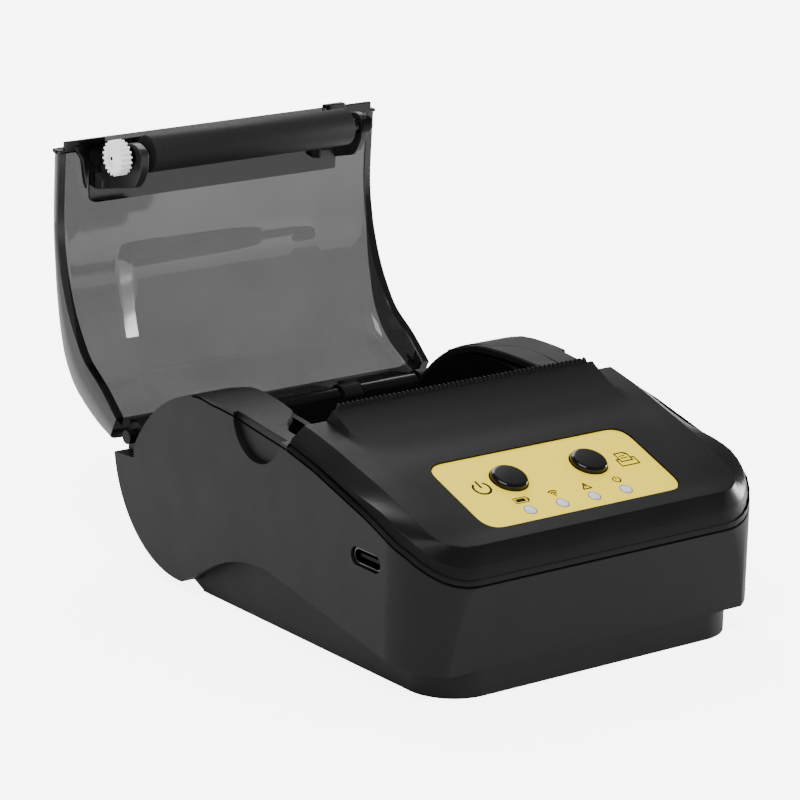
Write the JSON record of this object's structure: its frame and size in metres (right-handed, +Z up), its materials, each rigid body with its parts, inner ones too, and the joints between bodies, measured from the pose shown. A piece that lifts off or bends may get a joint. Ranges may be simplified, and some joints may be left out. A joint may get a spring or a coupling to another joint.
{
  "type": "receipt printer",
  "caption": "Portable receipt printer with a sloping control panel and a hinged see-through paper cover that carries the platen roller.",
  "frame": {"origin": "on the table under the case, midway across its width, 63 mm behind the front face", "axes": "+X to the printer's right, +Y to the rear and the cover hinge, +Z up; the cover is open at rest"},
  "size_m": [0.0894, 0.1368, 0.0878],
  "materials": {
    "case_black": "fine matte texture",
    "inner_black": "smooth satin",
    "panel_yellow": "satin printed film",
    "board_green": "solder mask",
    "switch_metal": "stamped",
    "light_pipe": "milky",
    "tear_black": "satin",
    "ceramic": "glazed",
    "heatsink": "bare",
    "spring_steel": "drawn wire",
    "pin_steel": "turned",
    "plate_steel": "zinc plated",
    "battery_wrap": "shrink wrap",
    "gear_white": "natural acetal",
    "port_steel": "drawn shell",
    "flex_amber": "polyimide film",
    "foot_rubber": "matte",
    "smoke_clear": "smoke tinted, polished",
    "platen_rubber": "ground",
    "button_black": "polished edge",
    "brass": "cut"
  },
  "bodies": {
    "chassis": {"lower_case": "case_black", "upper_case": "case_black", "paper_tub": "inner_black", "panel_label": "panel_yellow", "key_board": "board_green", "power_switch": "switch_metal", "feed_switch": "switch_metal", "light_pipe_battery": "light_pipe", "light_pipe_link": "light_pipe", "light_pipe_fault": "light_pipe", "light_pipe_power": "light_pipe", "tear_bar": "tear_black", "thermal_head": "ceramic", "head_heatsink": "heatsink", "mechanism_frame": "inner_black", "head_spring": "spring_steel", "paper_sensor": "inner_black", "reduction_axle": "pin_steel", "idler_axle": "pin_steel", "gear_plate": "plate_steel", "stepper_motor": "plate_steel", "main_board": "board_green", "battery": "battery_wrap", "radio_module": "switch_metal", "battery_socket": "gear_white", "buzzer": "inner_black", "usb_c_shell": "port_steel", "usb_c_tongue": "inner_black", "head_flex_cable": "flex_amber", "case_screws": "pin_steel", "rubber_feet": "foot_rubber", "hinge_pin": "inner_black"},
    "cover": {"paper_cover": "smoke_clear", "platen_holder": "inner_black", "platen_bush_left": "inner_black", "platen_bush_right": "inner_black"},
    "platen": {"platen_shaft": "pin_steel", "platen_roller": "platen_rubber", "platen_gear": "gear_white", "shaft_collar": "inner_black"},
    "power_key": {"power_button": "button_black"},
    "feed_key": {"feed_button": "button_black"},
    "motor_rotor": {"motor_shaft": "pin_steel", "motor_pinion": "brass"},
    "reduction": {"reduction_gear": "gear_white"},
    "idler": {"idler_gear": "gear_white"}
  },
  "joints": [
    {"name": "cover_hinge", "type": "hinge", "parent": "chassis", "child": "cover", "pos_m": [0, 0.0446, 0.0272], "axis": [1, 0, 0], "range_deg": [0, 100]},
    {"name": "platen_spin", "type": "hinge", "parent": "cover", "child": "platen", "pos_m": [0, 0.0594, 0.0836], "axis": [1, 0, 0], "continuous": true},
    {"name": "power_press", "type": "slide", "parent": "chassis", "child": "power_key", "axis": [0, 0.3404, -0.9403], "range_m": [0, 0.0006], "stiffness_N_per_m": 400},
    {"name": "feed_press", "type": "slide", "parent": "chassis", "child": "feed_key", "axis": [0, 0.3404, -0.9403], "range_m": [0, 0.0006], "stiffness_N_per_m": 400},
    {"name": "idler_spin", "type": "hinge", "parent": "chassis", "child": "idler", "pos_m": [-0.033, -0.01047, 0.0197], "axis": [1, 0, 0], "continuous": true},
    {"name": "reduction_spin", "type": "hinge", "parent": "chassis", "child": "reduction", "pos_m": [-0.035, -0.01945, 0.013], "axis": [1, 0, 0], "continuous": true},
    {"name": "motor_spin", "type": "hinge", "parent": "chassis", "child": "motor_rotor", "pos_m": [-0.035, -0.029, 0.012], "axis": [1, 0, 0], "continuous": true}
  ],
  "couplings": [
    {"joint": "reduction_spin", "follows": "idler_spin", "ratio": -2.5},
    {"joint": "motor_spin", "follows": "idler_spin", "ratio": 7.5}
  ]
}
